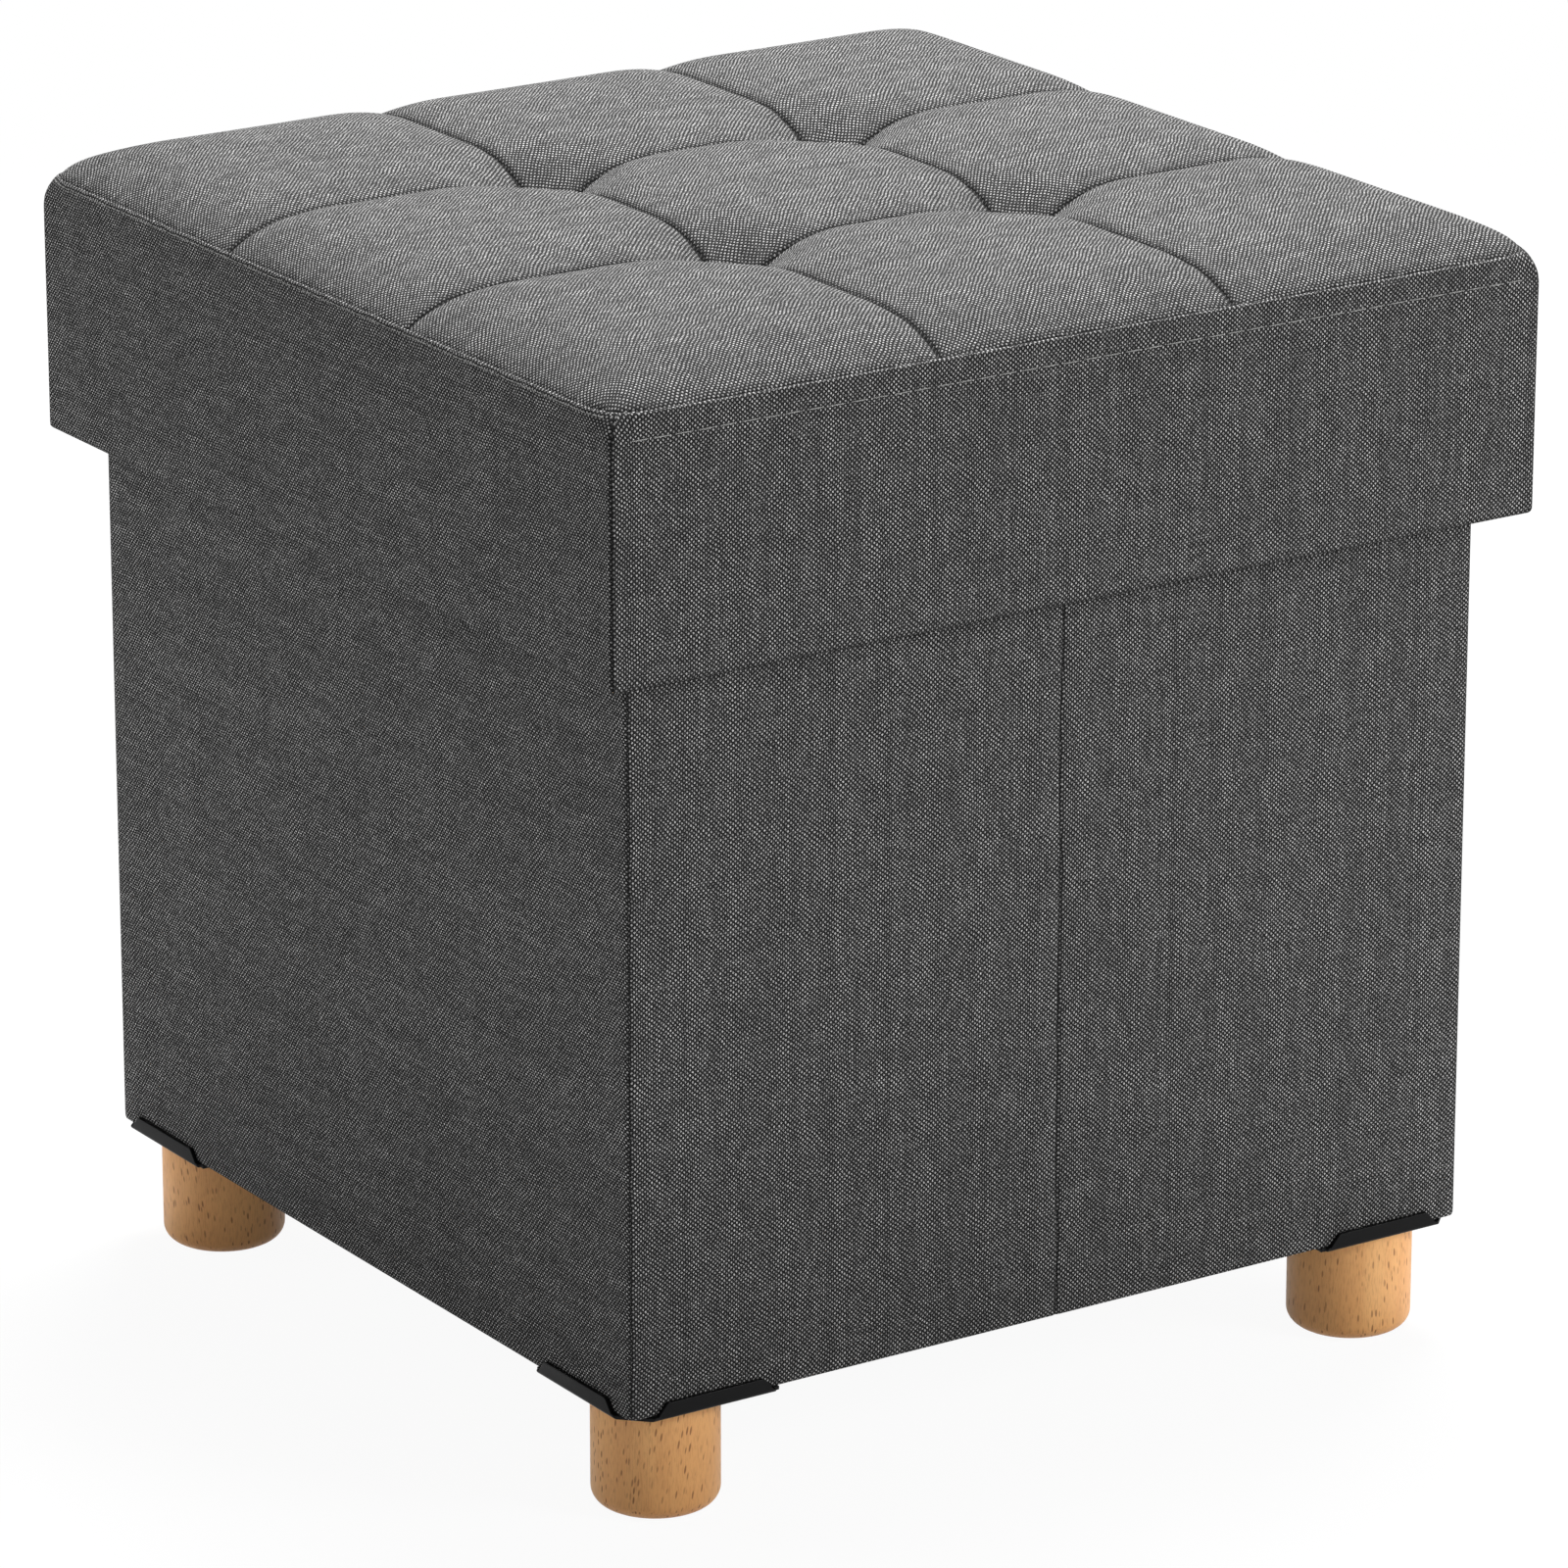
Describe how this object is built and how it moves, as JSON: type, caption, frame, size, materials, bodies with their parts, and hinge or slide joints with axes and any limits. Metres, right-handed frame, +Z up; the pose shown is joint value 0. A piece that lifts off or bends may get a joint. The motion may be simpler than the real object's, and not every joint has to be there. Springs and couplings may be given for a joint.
{
  "type": "storage ottoman",
  "caption": "Square upholstered storage ottoman: a tufted, padded lift-off lid with a deep skirt over a folding-board box on short turned legs with corner brackets.",
  "frame": {"origin": "centre of the footprint, on the floor under the feet", "axes": "+Z up, -Y out of the plain front wall, +X and -X out of the two folding walls with a middle crease"},
  "size_m": [0.38, 0.38, 0.415],
  "materials": {
    "upholstery": "matte",
    "lining": "matte",
    "foam": "matte",
    "tape": "matte",
    "fibreboard": "matte",
    "beech": "satin",
    "black_steel": "satin",
    "zinc_steel": "satin",
    "anchor": "matte"
  },
  "bodies": {
    "box": {"front_board": "fibreboard", "rear_board": "fibreboard", "left_front_board": "fibreboard", "left_rear_board": "fibreboard", "right_front_board": "fibreboard", "right_rear_board": "fibreboard", "front_cover": "upholstery", "rear_cover": "upholstery", "left_cover": "upholstery", "right_cover": "upholstery", "box_lining": "lining", "bottom_cloth": "lining", "base_board": "fibreboard", "base_cover": "lining", "tee_nuts": "zinc_steel", "front_left_bracket": "black_steel", "front_right_bracket": "black_steel", "rear_right_bracket": "black_steel", "rear_left_bracket": "black_steel"},
    "lid": {"lid_board": "fibreboard", "lid_front_skirt_board": "fibreboard", "lid_rear_skirt_board": "fibreboard", "lid_left_skirt_board": "fibreboard", "lid_right_skirt_board": "fibreboard", "lid_front_skirt_cover": "upholstery", "lid_rear_skirt_cover": "upholstery", "lid_left_skirt_cover": "upholstery", "lid_right_skirt_cover": "upholstery", "lid_lining": "lining", "lid_foam": "foam", "lid_top_cover": "upholstery", "tuft_tapes": "tape", "tuft_anchors": "anchor"},
    "front_left_leg_set": {"front_left_leg": "beech", "front_left_hanger_bolt": "zinc_steel"},
    "front_right_leg_set": {"front_right_leg": "beech", "front_right_hanger_bolt": "zinc_steel"},
    "rear_right_leg_set": {"rear_right_leg": "beech", "rear_right_hanger_bolt": "zinc_steel"},
    "rear_left_leg_set": {"rear_left_leg": "beech", "rear_left_hanger_bolt": "zinc_steel"}
  },
  "joints": [
    {"name": "lid_lift", "type": "slide", "parent": "box", "child": "lid", "axis": [0, 0, 1], "range_m": [0, 0.25]},
    {"name": "front_left_leg_turn", "type": "hinge", "parent": "box", "child": "front_left_leg_set", "pos_m": [-0.148, -0.148, 0.042], "axis": [0, 0, 1], "continuous": true},
    {"name": "front_right_leg_turn", "type": "hinge", "parent": "box", "child": "front_right_leg_set", "pos_m": [0.148, -0.148, 0.042], "axis": [0, 0, 1], "continuous": true},
    {"name": "rear_right_leg_turn", "type": "hinge", "parent": "box", "child": "rear_right_leg_set", "pos_m": [0.148, 0.148, 0.042], "axis": [0, 0, 1], "continuous": true},
    {"name": "rear_left_leg_turn", "type": "hinge", "parent": "box", "child": "rear_left_leg_set", "pos_m": [-0.148, 0.148, 0.042], "axis": [0, 0, 1], "continuous": true}
  ]
}
